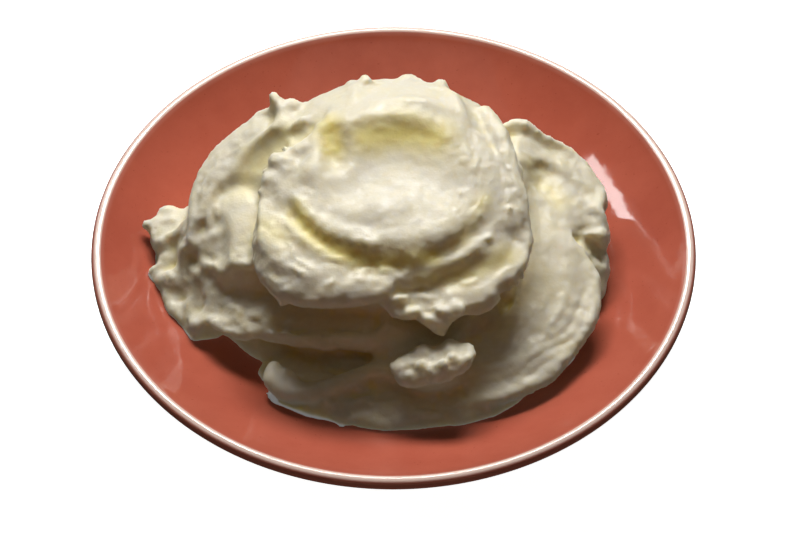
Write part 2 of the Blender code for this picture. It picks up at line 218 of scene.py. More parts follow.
# small lumps along a torn edge
def crumbs(stations, count, sizes, scatter, seed):
    chance = np.random.default_rng(seed)
    route = smoothRoute(stations)
    lumps = []
    for i in range(count):
        place = route[int(chance.integers(0, len(route)))] + chance.normal(0, scatter, 3)
        size = chance.uniform(*sizes)
        shape = size * chance.uniform(0.75, 1.25, 3)
        lumps.append(dollop(place, shape, chance.uniform(0, 180, 3), rounds=2))
    return joined(lumps, "crumbs")


# one skin over everything joined so far
def knit(thing, skin, passes):
    applied(thing, "REMESH", mode="VOXEL", voxel_size=skin * mm)
    applied(thing, "SMOOTH", factor=0.5, iterations=passes)


def add(thing, pieces, skin, passes):
    thing = joined([thing] + pieces, "mash_mound")
    knit(thing, skin, passes)
    return thing


# distance to the route, the nearest place on it, how far along that is, and the way it runs there
def nearestOn(route, points, reach):
    count = len(points)
    distance = np.full(count, 1e6)
    foot = np.zeros((count, 3))
    along = np.zeros(count)
    way = np.zeros((count, 3))
    near = np.where(((points > route.min(0) - reach) & (points < route.max(0) + reach)).all(1))[0]
    nearby = points[near]
    best = np.full(len(near), 1e12)
    bestFoot = np.zeros((len(near), 3))
    bestAlong = np.zeros(len(near))
    bestWay = np.zeros((len(near), 3))
    legs = len(route) - 1
    for leg in range(legs):
        step = route[leg + 1] - route[leg]
        length = step @ step + 1e-12
        share = np.clip((nearby - route[leg]) @ step / length, 0, 1)
        place = route[leg] + share[:, None] * step
        gap = ((nearby - place) ** 2).sum(1)
        closer = gap < best
        best[closer] = gap[closer]
        bestFoot[closer] = place[closer]
        bestAlong[closer] = (leg + share[closer]) / legs
        bestWay[closer] = step / math.sqrt(length)
    distance[near] = np.sqrt(best)
    foot[near] = bestFoot
    along[near] = bestAlong
    way[near] = bestWay
    return distance, foot, along, way


# a round spoon drawn along the floor line, with the raised edge it pushes up
def spoonMark(thing, floor, radii, lean=(0, 0, 1), lip=0.0, lipWidth=3.0):
    lean = np.array(lean, float)
    lean /= np.linalg.norm(lean)
    route = smoothRoute(floor)
    sizes = spread(radii, len(route))
    points = readPoints(thing)
    reach = sizes.max() + 3 * lipWidth
    distance, foot, along, way = nearestOn(route + lean * sizes[:, None], points, reach)
    radius = np.interp(along, np.linspace(0, 1, len(sizes)), sizes)
    inside = distance < radius
    away = (points - foot) / np.maximum(distance, 1e-6)[:, None]
    moved = points.copy()
    moved[inside] = foot[inside] + away[inside] * radius[inside][:, None]
    if lip:
        beside = (~inside) & (distance < radius + 3 * lipWidth)
        rise = lip * np.exp(-(((distance - radius) / lipWidth) ** 2)) * beside
        moved += readPoints(thing, "normal") * rise[:, None]
    writePoints(thing, moved)


# the back of a spoon drawn along the stations: flattens a band, falling to its right by the given slopes
def smear(thing, stations, halfWidth, slopes, bow=0.0, band=7.0, strength=1.0):
    route = smoothRoute(stations)
    slopes = spread(slopes, len(route))
    points = readPoints(thing)
    flatRoute = route * (1, 1, 0)
    flatPoints = points * (1, 1, 0)
    distance, foot, along, way = nearestOn(flatRoute, flatPoints, halfWidth * 1.5)
    legs = np.linspace(0, 1, len(route))
    across = (points[:, 0] - foot[:, 0]) * way[:, 1] - (points[:, 1] - foot[:, 1]) * way[:, 0]
    height = np.interp(along, legs, route[:, 2]) - np.interp(along, legs, slopes) * across
    height -= bow * (across / halfWidth) ** 2
    share = np.clip((1.35 - distance / halfWidth) / 0.6, 0, 1)  # fades past the edge
    share = share * share * (3 - 2 * share)
    upward = np.clip(readPoints(thing, "normal")[:, 2] * 2.6 - 0.5, 0, 1)  # steep walls stay
    near = np.clip(2 - np.abs(points[:, 2] - height) / band, 0, 1)
    points[:, 2] += strength * share * upward * near * (height - points[:, 2])
    writePoints(thing, points)


# fine ridges that follow the spoon's way
def streaks(thing, stations, reach, pitch, depth, lean, phase):
    route = smoothRoute(stations)
    points = readPoints(thing)
    distance, foot, along, way = nearestOn(route, points, reach)
    side = np.cross(way, np.array(lean, float))
    side /= np.maximum(np.linalg.norm(side, axis=1), 1e-9)[:, None]
    across = ((points - foot) * side).sum(1)
    # they wander, as ruled lines would look wrong
    wander = 0.35 * np.sin(7 * along + phase) + 0.25 * np.sin(17 * along + 2 * phase)
    turn = across / pitch + wander
    ridge = 1 - np.abs(np.sin(math.pi * turn))
    strength = 0.6 + 0.4 * np.sin(2.1 * np.floor(turn) + 5 * along + phase)
    fade = np.clip(1 - (distance / reach) ** 2, 0, 1) * np.clip(6 * np.minimum(along, 1 - along), 0, 1)
    rise = depth * (ridge - 0.4) * strength * fade
    writePoints(thing, points + readPoints(thing, "normal") * rise[:, None])


# how far each point stands out of its smoothed surroundings
def standOut(thing, passes):
    points = readPoints(thing)
    normals = readPoints(thing, "normal")
    pairs = neighbourPairs(thing)
    count = len(points)
    links = np.bincount(pairs.ravel(), minlength=count).astype(float)[:, None]
    soft = points.copy()
    for _ in range(passes):
        around = np.zeros_like(soft)
        for axis in range(3):
            around[:, axis] = np.bincount(pairs[:, 0], soft[pairs[:, 1], axis], count)
            around[:, axis] += np.bincount(pairs[:, 1], soft[pairs[:, 0], axis], count)
        soft = 0.4 * soft + 0.6 * around / links
    return ((points - soft) * normals).sum(1)


def roughen(thing, size, depth, group):
    grain = bpy.data.textures.new("grain", "CLOUDS")
    grain.noise_scale = size * mm
    grain.noise_depth = 2
    applied(
        thing,
        "DISPLACE",
        texture=grain,
        strength=depth * mm,
        mid_level=0.5,
        texture_coords="LOCAL",
        vertex_group=group,
    )


# pushes ridges out and creases in
def sharpen(thing):
    rise = np.clip(standOut(thing, mashLook["ridgeReach"]), -1.2, 1.2)
    shift = mashLook["ridgeGain"] * rise[:, None] * readPoints(thing, "normal")
    writePoints(thing, readPoints(thing) + shift)


# where the skin is smooth, lumpy or torn: a line through the mash, its reach, and how much
calmParts = [
    ([(-8, -6, 57), (0, 0, 57.5), (10, -6, 57)], 13.0, 1.0),
    ([(-16, 28, 62), (0, 28, 64), (18, 26, 62)], 9.0, 0.9),
    ([(-31, 17, 55), (-42, 12, 47), (-46, -4, 41)], 7.0, 0.9),
    ([(-58, -8, 27), (-58, -18, 22)], 5.0, 0.9),
    ([(20, -34, 46), (30, -30.4, 47.4), (37, -22, 49)], 3.5, 0.8),
    ([(20, -29, 48), (31, -24, 48.6)], 4.0, 0.6),
    ([(46, 4, 37), (46, -14, 33), (42, -28, 29)], 7.0, 0.8),
]

lumpyParts = [
    ([(-22, 20, 60), (-28, 14, 58), (-33, 6, 56)], 6.0, 1.0),
    ([(-34, -4, 54), (-34, -16, 51), (-26, -27, 49), (-10, -31, 48.6)], 5.0, 0.45),
    ([(50, 22, 38), (56, 10, 35), (59, -2, 31)], 7.0, 0.8),
    ([(-68, 5, 28), (-62, -8, 25), (-56, -20, 26)], 7.0, 0.7),
    ([(-50, -26, 27), (-34, -32, 28.6), (-18, -34, 31), (0, -35, 32)], 5.0, 0.8),
    ([(-28, -50, 17), (-8, -58, 17), (16, -58, 18), (38, -50, 20)], 6.0, 0.8),
]

tornEdges = [
    ([(-39, -10, 51), (-38.6, -21, 46), (-32, -33.6, 44.4), (-20, -38, 44.4), (-8, -38, 45)], 3.4, 0.7),
    ([(-2, -37.6, 43.4), (8, -39.4, 42.6), (17, -39, 42.6)], 4.6, 1.0),
    ([(20, -39, 42.6), (30, -34.6, 43.4), (37, -27, 45)], 2.6, 0.7),
    ([(2, -51, 31), (11, -51.6, 33), (20, -50, 36)], 5.0, 1.0),
    ([(24, -21, 52), (31, -15, 52.6), (35, -8, 53.6)], 3.0, 0.8),
    ([(-57, -24.5, 24.6), (-46, -30.6, 27), (-36, -34, 28.6), (-22, -36, 31)], 4.0, 0.9),
    ([(-47, -22, 29), (-42, -27, 28)], 6.0, 0.6),
    ([(-33, 12, 57), (-37, 5, 55), (-38.6, -3, 53.5)], 4.0, 0.8),
    ([(58, -14, 30.6), (57.6, -28, 27.6), (45, -46.6, 24), (26, -56.6, 20.6)], 3.0, 0.7),
    ([(-34, 30, 57), (-20, 33, 60), (0, 36, 59), (20, 33, 58), (36, 27, 50)], 5.0, 0.5),
    ([(-70, 10, 28), (-76, 8, 25), (-70, -5, 24), (-72, -8, 20), (-58, -24, 20)], 5.0, 0.6),
    ([(55, 22, 36), (62, 14, 30), (62, 2, 26), (61, -6, 24)], 5.0, 0.6),
    ([(-44, 33, 34), (-22, 51, 31), (0, 57, 29), (22, 51, 27), (38, 39, 28)], 4.0, 0.6),
]


# how much each point belongs to the parts
def partShares(thing, parts):
    points = readPoints(thing)
    shares = np.zeros(len(points))
    for stations, reach, share in parts:
        distance = nearestOn(smoothRoute(stations, 6), points, 3 * reach)[0]
        shares = np.maximum(shares, share * np.exp(-((distance / reach) ** 2)))
    return shares


def markGroup(thing, name, shares):
    group = thing.vertex_groups.new(name=name)
    for i in np.where(shares > 0.02)[0]:  # less can't be seen
        group.add([int(i)], float(min(shares[i], 1)), "REPLACE")


# deletes crumbs that touch nothing
def dropLoose(thing):
    pick(thing)
    bpy.ops.object.mode_set(mode="EDIT")
    bpy.ops.mesh.select_all(action="DESELECT")
    bpy.ops.object.mode_set(mode="OBJECT")
    thing.data.vertices[int(readPoints(thing)[:, 2].argmax())].select = True
    bpy.ops.object.mode_set(mode="EDIT")
    bpy.ops.mesh.select_linked()
    bpy.ops.mesh.select_all(action="INVERT")
    bpy.ops.mesh.delete(type="VERT")
    bpy.ops.object.mode_set(mode="OBJECT")


# curdled grain: its size, its depth, and where it is
curds = [(12.0, 0.8, ""), (5.0, 0.9, "rough"), (6.5, 2.4, "lumpy"), (2.4, 0.5, "rough"), (4.2, 1.5, "torn"),
    (2.0, 1.0, "torn")]


def tearEdges(thing):
    markGroup(thing, "lumpy", partShares(thing, lumpyParts))
    ridge = np.clip((standOut(thing, 12) + 0.1) / 0.5, 0, 1)
    markGroup(thing, "torn", partShares(thing, tornEdges) * (0.4 + 0.6 * ridge))
    markGroup(thing, "rough", 1 - partShares(thing, calmParts))
    for size, depth, where in curds:
        roughen(thing, size, depth, where)


def heapUp():
    lumps = dollops([
        ((4, 0, 12.5), (54, 50, 9.5)),
        ((-3, 11, 16), (58, 48, 35)),
        ((-1, 16, 38), (40, 33, 27.5)),  # the tall middle
        ((-4, -9, 41), (35, 24, 14.5)),  # its front
        ((-25, 4, 45), (14, 20, 13)),
        ((-33, 24, 45), (14, 12, 12)),  # back left shoulder
        ((-43, 17, 38), (12, 13, 12)),
        ((-42, 1, 29), (18, 23, 12.5)),
        ((-50, 8, 31), (11, 17, 10)),
        ((-51, -12, 24), (9, 12, 9)),
        ((-46, -12, 34), (8, 8, 6.4)),
        ((-58, 3, 18), (14, 21, 12), (0, 0, -8)),
        ((47, 15, 28), (13, 15, 15)),  # back right lobe
        ((38, 24, 38), (10, 9, 11)),
        ((53, 8, 20), (11, 16, 9)),
        ((45, -8, 22), (14, 24, 14)),
        ((34, -28, 17), (22, 21, 9)),
        ((0, -16, 20), (35, 18.5, 20)),  # slope under the ledge
        ((16, -28, 20), (18, 16, 15)),
        ((4, -42, 13), (34, 18, 7)),
    ])
    thing = joined(lumps, "mash_mound")
    knit(thing, mashLook["roughSkin"], mashLook["heapSmoothing"])
    return thing


hollow = {
    "middle": (0.5, -5.5),
    "reach": (27.0, 20.5),
    "floor": 57.6,
    "tilt": 0.07,  # falls to the front
    "backRise": 4.3,
    "rollDown": 2.0,
    "hump": 1.0,
}


# the broad spoon mark on top: a soft wall at the back, a tongue that rolls down at the front and right
def hollowTop(thing):
    points = readPoints(thing)
    across = (points[:, 0] - hollow["middle"][0]) / hollow["reach"][0]
    back = (points[:, 1] - hollow["middle"][1]) / hollow["reach"][1]
    out = np.hypot(across, back)
    turn = np.arctan2(back, across)
    steep = np.exp(-(((points[:, 0] - 3) / 12) ** 2))
    start = 0.3 + 0.12 * steep
    wall = np.clip((out - start) / (1.04 - start), 0, 1) ** (1.3 + 0.2 * steep)
    wall *= np.clip(np.sin(turn - 0.12), 0, 1) ** 0.8
    front = np.clip(1.5 * np.cos(turn + 1.2) - 0.25, 0, 1)
    roll = np.clip((out - 0.78) / 0.22, 0, 1.1) ** 2 * front
    hump = np.exp(-(((points[:, 0] + 2) / 9) ** 2) - ((points[:, 1] + 11.5) / 4.5) ** 2)
    height = hollow["floor"] + hollow["tilt"] * (points[:, 1] - hollow["middle"][1])
    height += hollow["backRise"] * wall - hollow["rollDown"] * roll + hollow["hump"] * hump
    share = np.clip((1.12 - out) / 0.12, 0, 1) * (points[:, 2] > 44)
    share = share * share * (3 - 2 * share)
    points[:, 2] += share * (height - points[:, 2])
    writePoints(thing, points)
    applied(thing, "SMOOTH", factor=0.5, iterations=8)
    # pocket at the back left of it
    spoonMark(thing, [(-19, 17, 63), (-18, 12, 59.6), (-16.5, 6, 58)], [4, 5, 6], (0, -0.4, 1), 0.3, 2.0)


groove = {
    "start": [(-25, 18.5, 58), (-29, 17, 55.5), (-37, 16, 51)],
    "radii": [3, 5, 7, 8, 9, 9.5, 10],
    "lean": (-0.2, -0.3, 1),
}


# groove from the pocket round the left of the tall middle
def markGroove(thing, end):
    spoonMark(thing, groove["start"] + end, groove["radii"], groove["lean"])


def undercut(thing):
    # hollow under the ledge
    spoonMark(thing, [(-38, -25, 34), (-30, -28.6, 34.6), (-20, -31, 36), (-6, -32, 37)], [3, 5.5, 6, 4],
        (0, -1, 0.1))
    # under the lip of the long sweep
    spoonMark(thing, [(56, -14, 21), (55, -30, 21), (46, -42, 20), (34, -51, 18)], [6, 7, 7, 5],
        (1, -0.9, -0.2))


# folds side by side, as a spoon lays them
def fan(inner, outer, count, thickness):
    inner, outer = np.array(inner, float), np.array(outer, float)
    strands = []
    for share in np.linspace(0, 1, count):
        stations = [tuple(place) for place in inner + share * (outer - inner)]
        strands.append(fold(stations, thickness))
    return joined(strands, "fan")


def longSweep():
    inner = [(40, 16, 39.5), (41.6, 6, 37), (42, -8, 34.6), (40.5, -21, 31.6), (36, -31, 28.6),
        (28.6, -38, 28), (19, -42, 27)]
    outer = [(50, 14, 34.5), (52, 4, 32.6), (54, -8, 31), (56, -19, 28), (51.5, -33, 25), (42, -45, 21.8),
        (24, -53, 18.6)]
    return [fan(inner, outer, 6, [3.2, 3.4, 3.6, 3.4, 3.4, 3.2, 2.4])]


def ledgePieces():
    return [
        dollop((31, 2, 47), (7, 20, 9.5), (0, 0, -6)),
        # rolled front of the tall middle
        fold([(-34, -2, 50), (-35.5, -12, 49), (-33.5, -20, 48), (-27, -26.6, 47.4), (-16, -30, 47.2),
            (-4, -30.4, 47), (8, -29.6, 46.4)], [5, 5.8, 5.8, 5.2, 4.6, 4.4, 4.2]),
        fold([(-38, -17, 46), (-36.4, -25, 45.4), (-31, -32, 45), (-22, -35.4, 45.2), (-12, -35.8, 45.6),
            (-3, -35, 46)], [3, 3.4, 3.6, 3.4, 3, 2.6]),
    ] + dollops([
        ((-25, -20, 47), (14, 10, 6), (6, 0, 0)),
        ((-45, -6, 36.4), (11, 13, 6.6), (0, 0, 6)),
        ((-41, -12, 39.2), (8, 8, 5)),
        ((0, -22, 46.5), (22, 10, 6.5), (6, 0, 0)),
        ((25, -14, 47), (11, 13, 6), (4, 0, 20)),
        ((22, -23, 43), (14, 8, 6), (0, 0, 16)),
        # bumps on it
        ((-36.5, -10, 50.2), (4, 5, 3.2)),
        ((-31, -33, 43), (2.6, 2.4, 2.2)),
    ]) + [
        fold([(-31.5, -33.4, 42), (-32, -35, 39.6), (-32, -35.6, 37.6)], [1.8, 1.1, 0.5]),
        # lip outside the crease
        fold([(-34.4, -8, 54.4), (-30.6, -16, 54), (-24.6, -23.4, 52.8), (-15.6, -28, 51.2),
            (-7, -29.6, 50.2)], [1.4, 1.8, 2.2, 1.8, 1.4]),
        fold([(0, -29.6, 49.6), (10.5, -28.6, 49.8), (18, -26, 50.2), (25, -20.4, 51.2), (30, -13, 52.4),
            (32.6, -5, 53.6)], [1.4, 1.8, 1.8, 1.8, 2, 1.8]),
    ] + dollops([
        ((4.6, -28.8, 51.6), (1.8, 1.5, 1.6)),
        # rough side of the hollow above the groove, and the rim outside the groove
        ((-31, 9, 54), (6, 12, 4.6), (0, 0, 14)),
        ((-34, -3, 52.6), (5, 8, 4)),
        ((-30, 15, 57.4), (3.6, 3, 2.6)),
        ((-27, 10, 58), (3, 3.4, 2)),
        ((-33.6, 7, 56.6), (3.2, 3, 2.2)),
        ((-36, 1, 54.6), (3, 3.2, 2.4)),
    ]) + [
        fold([(-30, 27, 53), (-40, 25, 49.6), (-48.6, 20, 44.6), (-54, 11, 40.6), (-56, 1, 37),
            (-54.6, -9, 33.4)], [4, 5, 5.6, 5.8, 5.4, 4.4]),
    ]


def markBack(thing):
    # long spoon mark behind the crest
    spoonMark(thing, [(-34, 34, 46), (-18, 41, 46.4), (2, 44, 46), (24, 40, 44), (36, 31, 42)],
        [5, 8, 9, 8, 5], (0, 0.7, 1))


def backFolds():
    return [
        fold([(-46, 29, 36), (-35, 42, 33.4), (-22, 51, 31), (0, 56, 29), (22, 50, 27), (38, 38, 28)],
            [3, 4, 5, 5, 4.5, 3]),
        fold([(-48, 34, 20), (-26, 52, 18), (0, 59, 17.6), (24, 53, 18), (42, 38, 20)], [3, 4, 4.4, 4, 3]),
    ]


def rightStrands():
    return [
        fold([(27, 26, 57), (31, 17, 56.6), (33.4, 7, 55.4), (35.4, -2, 53.6), (37, -10, 51),
            (38.4, -18, 48)], [2.4, 3.4, 3.4, 3.2, 2.8, 2.2]),
        fold([(24, 14, 58.6), (27.4, 4, 56.4), (28, -5, 54.6), (25.5, -13, 53.2)], [2, 2.6, 2.6, 1.8]),
        fold([(30.5, 0, 54.6), (32, -8, 53.4), (33.6, -14, 51.6)], [1.8, 2.2, 1.8]),
    ]


# ridge under the trough, with the knobbly edge below it
def troughRidge():
    return [
        fold([(-2, -33.6, 42.6), (8, -34, 42.6), (18, -33, 43), (28, -29.4, 43.8), (35, -23.6, 45),
            (38.6, -15, 46.4)], [3, 3.6, 3.8, 3.6, 3.2, 2.2]),
        fold([(14, -35, 44.6), (21, -33.6, 45.4), (28.6, -30, 46.4), (35, -24, 47.6), (38.6, -16, 49)],
            [1.6, 2.6, 3, 2.6, 1.6]),
    ] + dollops([
        ((4, -36.6, 42.2), (7, 4.4, 2.4), (12, 0, 0)),
        ((14, -37, 42), (7, 4.6, 2.4), (12, 0, 6)),
        ((24, -34.6, 42.4), (7, 4.4, 2.6), (12, 0, 18)),
        ((1, -36, 43), (3.4, 3.4, 2.8)),
        ((4.4, -38.6, 42.6), (3, 2.8, 2.4)),
        ((9, -39, 42.6), (3, 3, 2.6)),
        ((12.6, -40.4, 40.6), (4, 3, 3)),
        ((13.4, -41.8, 38.6), (2.6, 2.2, 2)),
        ((11.6, -42, 38.8), (1.8, 1.6, 1.5)),
    ])


# outer lip of the long sweep
def sweepLip():
    return [
        fold([(51, -5, 33), (54.6, -9.6, 32.6), (58, -14.6, 30.4), (58.8, -21, 28.8), (57.6, -28, 27.4),
            (53.6, -35, 25.4), (45, -45.4, 22.8), (36, -50.4, 21.6), (27, -53, 20.4), (18, -54, 18.6)],
            [1.4, 2, 2.4, 2.6, 2.6, 2.6, 2.8, 2.8, 2.6, 2]),
    ]


# second tier under the ledge
def shelf():
    return dollops([
        ((-43, -23, 24.6), (12, 9.5, 4.6), (6, -8, -24)),
        ((-30, -28.6, 26), (17, 9, 4.6), (8, 0, -20)),
        ((-9, -33, 27.4), (22, 7, 5), (12, 0, -6)),
        ((12, -35.4, 28), (16, 7.4, 5), (14, 0, 8)),
        ((-47, -22, 28.4), (4.2, 4, 3.4)),
        ((-42, -27, 28), (5, 3.6, 2.6)),
    ]) + [
        fold([(-57, -24.5, 24.4), (-51.5, -29.6, 25), (-46, -32, 25.4), (-41, -31.4, 26)],
            [0.8, 1.6, 1.8, 1.6]),
        fold([(-52, -27.6, 24.6), (-44, -31.8, 24.8), (-37, -31.4, 28), (-28, -35, 27.4),
            (-20, -32.6, 30.6), (-11, -35.8, 29), (-3, -34, 31.6), (6, -36.4, 30)],
            [1.6, 2.8, 2.6, 4, 3.2, 4, 3, 3.2]),
    ] + dollops([
        ((-31, -34.4, 29.4), (4.6, 3, 2.6), (0, 0, -20)),
        ((-14, -35.8, 31), (5.4, 3, 2.6), (0, 0, 10)),
        ((-40, -31.8, 27), (3.8, 3, 2.4)),
        ((-22, -37, 25.4), (6, 3, 3), (0, 0, -12)),
    ])


def lowerBody():
    return dollops([
        ((-4, -43, 14.6), (20, 10, 6), (8, 0, 4)),
        ((12, -45, 16.4), (20, 11, 7), (12, 0, 4)),
    ])


# torn flake that stands out at the front, on its own support
def flake():
    return dollops([
        ((6.4, -50, 30.6), (6.6, 5.6, 3), (16, -8, 12)),
        ((13, -49.6, 32.4), (6.6, 6, 3), (16, -8, 12)),
        ((17.8, -48.8, 34), (4.6, 5, 2.8), (12, 0, 0)),
        ((16.6, -46, 35.6), (3, 2.6, 2)),
        ((3.2, -52, 30.4), (2.6, 2, 2)),
        ((8.6, -52.8, 32), (2.6, 2, 2)),
        ((14, -52.4, 34), (2.8, 2, 2)),
        ((19.6, -50.6, 35.6), (2.4, 2.2, 2)),
        ((4.6, -53.6, 29.6), (2, 1.8, 1.6)),
        ((11, -53.8, 32), (2, 1.8, 1.8)),
        ((17.4, -52.8, 34), (2, 1.8, 1.8)),
        ((21.8, -48.2, 35.6), (2.2, 2, 1.6)),
        ((0.6, -49.6, 30.8), (2, 2, 1.8)),
        ((8.6, -46, 34.4), (2.8, 2, 1.6)),
        ((21, -45.8, 35), (2, 2.4, 1.6)),
        ((12, -46.4, 25), (9, 6, 7), (0, 0, 12)),
        ((12, -42, 20), (20, 9, 7)),
    ])


# where the front runs out onto the bowl
def skirt():
    return dollops([
        ((-24, -50, 13.4), (16, 6, 4), (0, 0, -20)),
        ((2, -53.4, 16.4), (24, 7.4, 3.8)),
        ((24, -50, 16), (16, 8, 5), (0, 0, 22)),
        ((-41, -24, 15), (15, 7, 6), (0, 0, -42)),
    ]) + [
        fold([(-16, -56, 15.6), (-7, -56, 17.2), (2, -52.5, 19.6)], [1.6, 2, 1.8]),
        fold([(-14.5, -56, 15.6), (-15, -58.6, 14.4), (-15.2, -60.6, 13.6)], [2.4, 1.5, 0.6]),
        fold([(-28, -49, 15.6), (-35, -48.4, 15.2), (-40.6, -48, 15)], [2.8, 2, 0.8]),
    ]


def frontLobes():
    return troughRidge() + sweepLip() + shelf() + lowerBody() + flake() + skirt()


# a rolled finger of mash under the shelf
def finger():
    return [
        fold([(-34.6, -42.8, 21.4), (-34.8, -46, 20.6), (-30.5, -49.4, 19.8), (-23, -50.4, 19.4),
            (-15, -48, 20.4), (-7, -44.6, 22)], [2.2, 3, 3.4, 3.4, 3.2, 2.6]),
    ] + dollops([
        ((-31, -44.6, 22), (2, 1.6, 1.6)),
        ((-28.6, -46.4, 21.6), (1.6, 1.4, 1.4)),
        ((-20, -50, 14.4), (14, 4, 3.6), (0, 0, -8)),
        ((-23, -44.6, 15.6), (11, 5, 4), (0, 0, -10)),
        ((-26, -41, 13.4), (14, 8, 4.4), (0, 0, -16)),
    ])


def leftTips():
    return [
        dollop((-61, 5, 25), (13, 10, 6), (0, -6, 0)),
        fold([(-65, 7, 26.4), (-72, 8, 26), (-77, 8.6, 25.4)], [4.4, 2.4, 0.7]),
        dollop((-60, -8, 21.6), (12, 8, 6), (0, -4, 0)),
        fold([(-63, -5, 21.6), (-69, -7.6, 20.6), (-73.5, -6.6, 20.6)], [5, 3, 1]),
    ] + dollops([
        ((-68, 11.5, 27.4), (4, 3, 2.8)),
        ((-59, 1, 29.6), (6, 8, 6)),
        ((-58.6, -4.6, 29), (6, 7, 6)),
        ((-57, -19, 17), (8, 10, 4.6), (0, 0, 24)),
    ]) + [
        fold([(-69, -9, 20.5), (-65, -19, 19.4), (-61, -25, 18.4)], [2, 2.6, 1.4]),
    ]


def rightLobes():
    return dollops([
        ((38, 25, 45), (8, 8, 6), (0, 14, -10)),
        ((50, 20, 34.4), (12, 9, 6), (0, 8, -8)),
        ((42, 13, 37.4), (9, 13, 6)),
        ((43, 22, 40), (10, 7, 6), (0, 12, 0)),
        ((51, 11, 33), (10, 13, 6), (4, 6, 0)),
        ((57.4, 13, 31), (7, 9, 7), (0, 10, -10)),
        ((57, 2, 29), (8, 8, 6), (0, 8, 4)),
        ((60, -5, 22), (5, 7, 7)),
        ((59.6, -11, 20), (4, 5, 4.6)),
    ]) + [
        fold([(36, 27, 48.4), (43, 27.4, 44.6), (51, 27, 39.6), (57, 24, 36)], [2.4, 2.6, 2.6, 2]),
    ]


def crestTips():
    return [
        fold([(-12, 36, 57.6), (-11, 28, 61.2), (-12.6, 20, 61.4), (-14.4, 13, 59)], [2.4, 2.6, 2, 1.2]),
        fold([(12, 36, 56.4), (17, 28, 59.6), (20, 20.6, 60), (22, 14, 58.6)], [2.6, 3, 2.4, 1.4]),
        fold([(-13, 20.6, 61.6), (-4, 22.6, 63.2), (8, 23.6, 63.2), (17, 21.4, 61.4)], [1.6, 2.2, 2.2, 1.6]),
        fold([(-27, 20, 59), (-29, 14, 57.6), (-30.6, 8, 56.4)], [1.6, 2.2, 1.6]),
        fold([(-33, 28, 54), (-35.8, 32, 57), (-36.4, 33.4, 59.4)], [4, 1.8, 0.5]),
        fold([(-29.5, 29, 55.5), (-31.2, 31.8, 58.6)], [2.6, 0.6]),
        fold([(-8.5, 34, 61), (-8.6, 37.8, 62.4)], [2.4, 0.5]),
        fold([(1, 37.5, 57.4), (4, 39.6, 56.6), (8, 38.6, 57.2)], [1.4, 2.2, 1.4]),
        fold([(14.5, 36.6, 57), (16.2, 38.4, 56.6)], [2, 0.8]),
    ]


# the place dropped onto the surface, sunk in a little
def settled(thing, place, sink):
    hit, spot, normal, face = thing.ray_cast(Vector((place[0], place[1], 90)) * mm, Vector((0, 0, -1)))
    return (place[0], place[1], spot.z / mm - sink) if hit else tuple(place)


edgeDrop = 3.5  # a wisp that falls further than this would hang over an edge


# thin torn ridges laid on the surface along the way the spoon went
def wisps(thing, stations, count, lengths, thickness, sideways, seed):
    chance = np.random.default_rng(seed)
    route = smoothRoute(stations, 24)
    strands = []
    for i in range(count):
        start = int(chance.integers(0, len(route) - 2))
        length = chance.uniform(*lengths)
        reach = np.cumsum(np.linalg.norm(np.diff(route[start:], axis=0), axis=1))
        end = start + int(np.searchsorted(reach, length))
        picked = route[np.linspace(start, end, 4).astype(int).clip(0, len(route) - 1)]
        way = picked[-1] - picked[0]
        side = np.array([-way[1], way[0], 0]) / (np.hypot(way[0], way[1]) + 1e-6)
        places = picked + side * (chance.normal(0, sideways) + chance.normal(0, 0.5, 4)[:, None])
        size = chance.uniform(*thickness)
        laid = [settled(thing, place, 0.45 * size) for place in places]
        if np.abs(np.diff([place[2] for place in laid])).max() > edgeDrop:
            continue
        strands.append(fold(laid, [0.4 * size, size, size, 0.4 * size]))
    return strands


# for each run of wisps: its line, how many, lengths, thickness, and how far they stray to the side
wispRuns = [
    ([(-34, -8, 52), (-30, -19, 51), (-20, -27, 51), (-6, -30, 50), (8, -30, 50)], 24, (4, 11), (0.45, 0.9),
        2.4),
    ([(2, -33, 47), (14, -36, 46), (27, -33, 46), (37, -25, 47), (38, -12, 50)], 16, (6, 14), (0.45, 0.9),
        1.8),
    ([(30, 24, 58), (34, 6, 56), (36, -8, 53), (37, -18, 50)], 8, (7, 16), (0.5, 0.9), 2.2),
    ([(42, 10, 40), (46, -8, 37), (46, -24, 32), (38, -38, 27), (22, -46, 23)], 18, (8, 20), (0.4, 0.8),
        4.0),
    ([(-50, -22, 30), (-38, -30, 28), (-22, -37, 27), (-4, -41, 27)], 14, (5, 12), (0.6, 1.2), 3.0),
    ([(-36, 22, 54), (-50, 17, 47), (-55, 4, 42), (-54, -8, 38)], 8, (6, 14), (0.4, 0.8), 2.6),
    ([(-28, 28, 58), (-10, 33, 62), (10, 33, 62), (26, 26, 58)], 6, (4, 10), (0.5, 0.9), 3.0),
    ([(-26, -50, 20), (-6, -52, 20), (14, -54, 20), (30, -50, 22)], 12, (6, 12), (0.7, 1.3), 3.0),
    ([(-60, 6, 30), (-66, -4, 26), (-62, -14, 22), (-52, -28, 18)], 6, (4, 9), (0.5, 1.0), 4.0),
    ([(-44, 34, 36), (-20, 50, 34), (4, 55, 32), (28, 47, 30), (44, 34, 30)], 16, (6, 16), (0.5, 1.0), 5.0),
]


def wispSets(thing):
    strands = []
    for seed, run in enumerate(wispRuns, 31):
        strands += wisps(thing, *run, seed)
    return strands


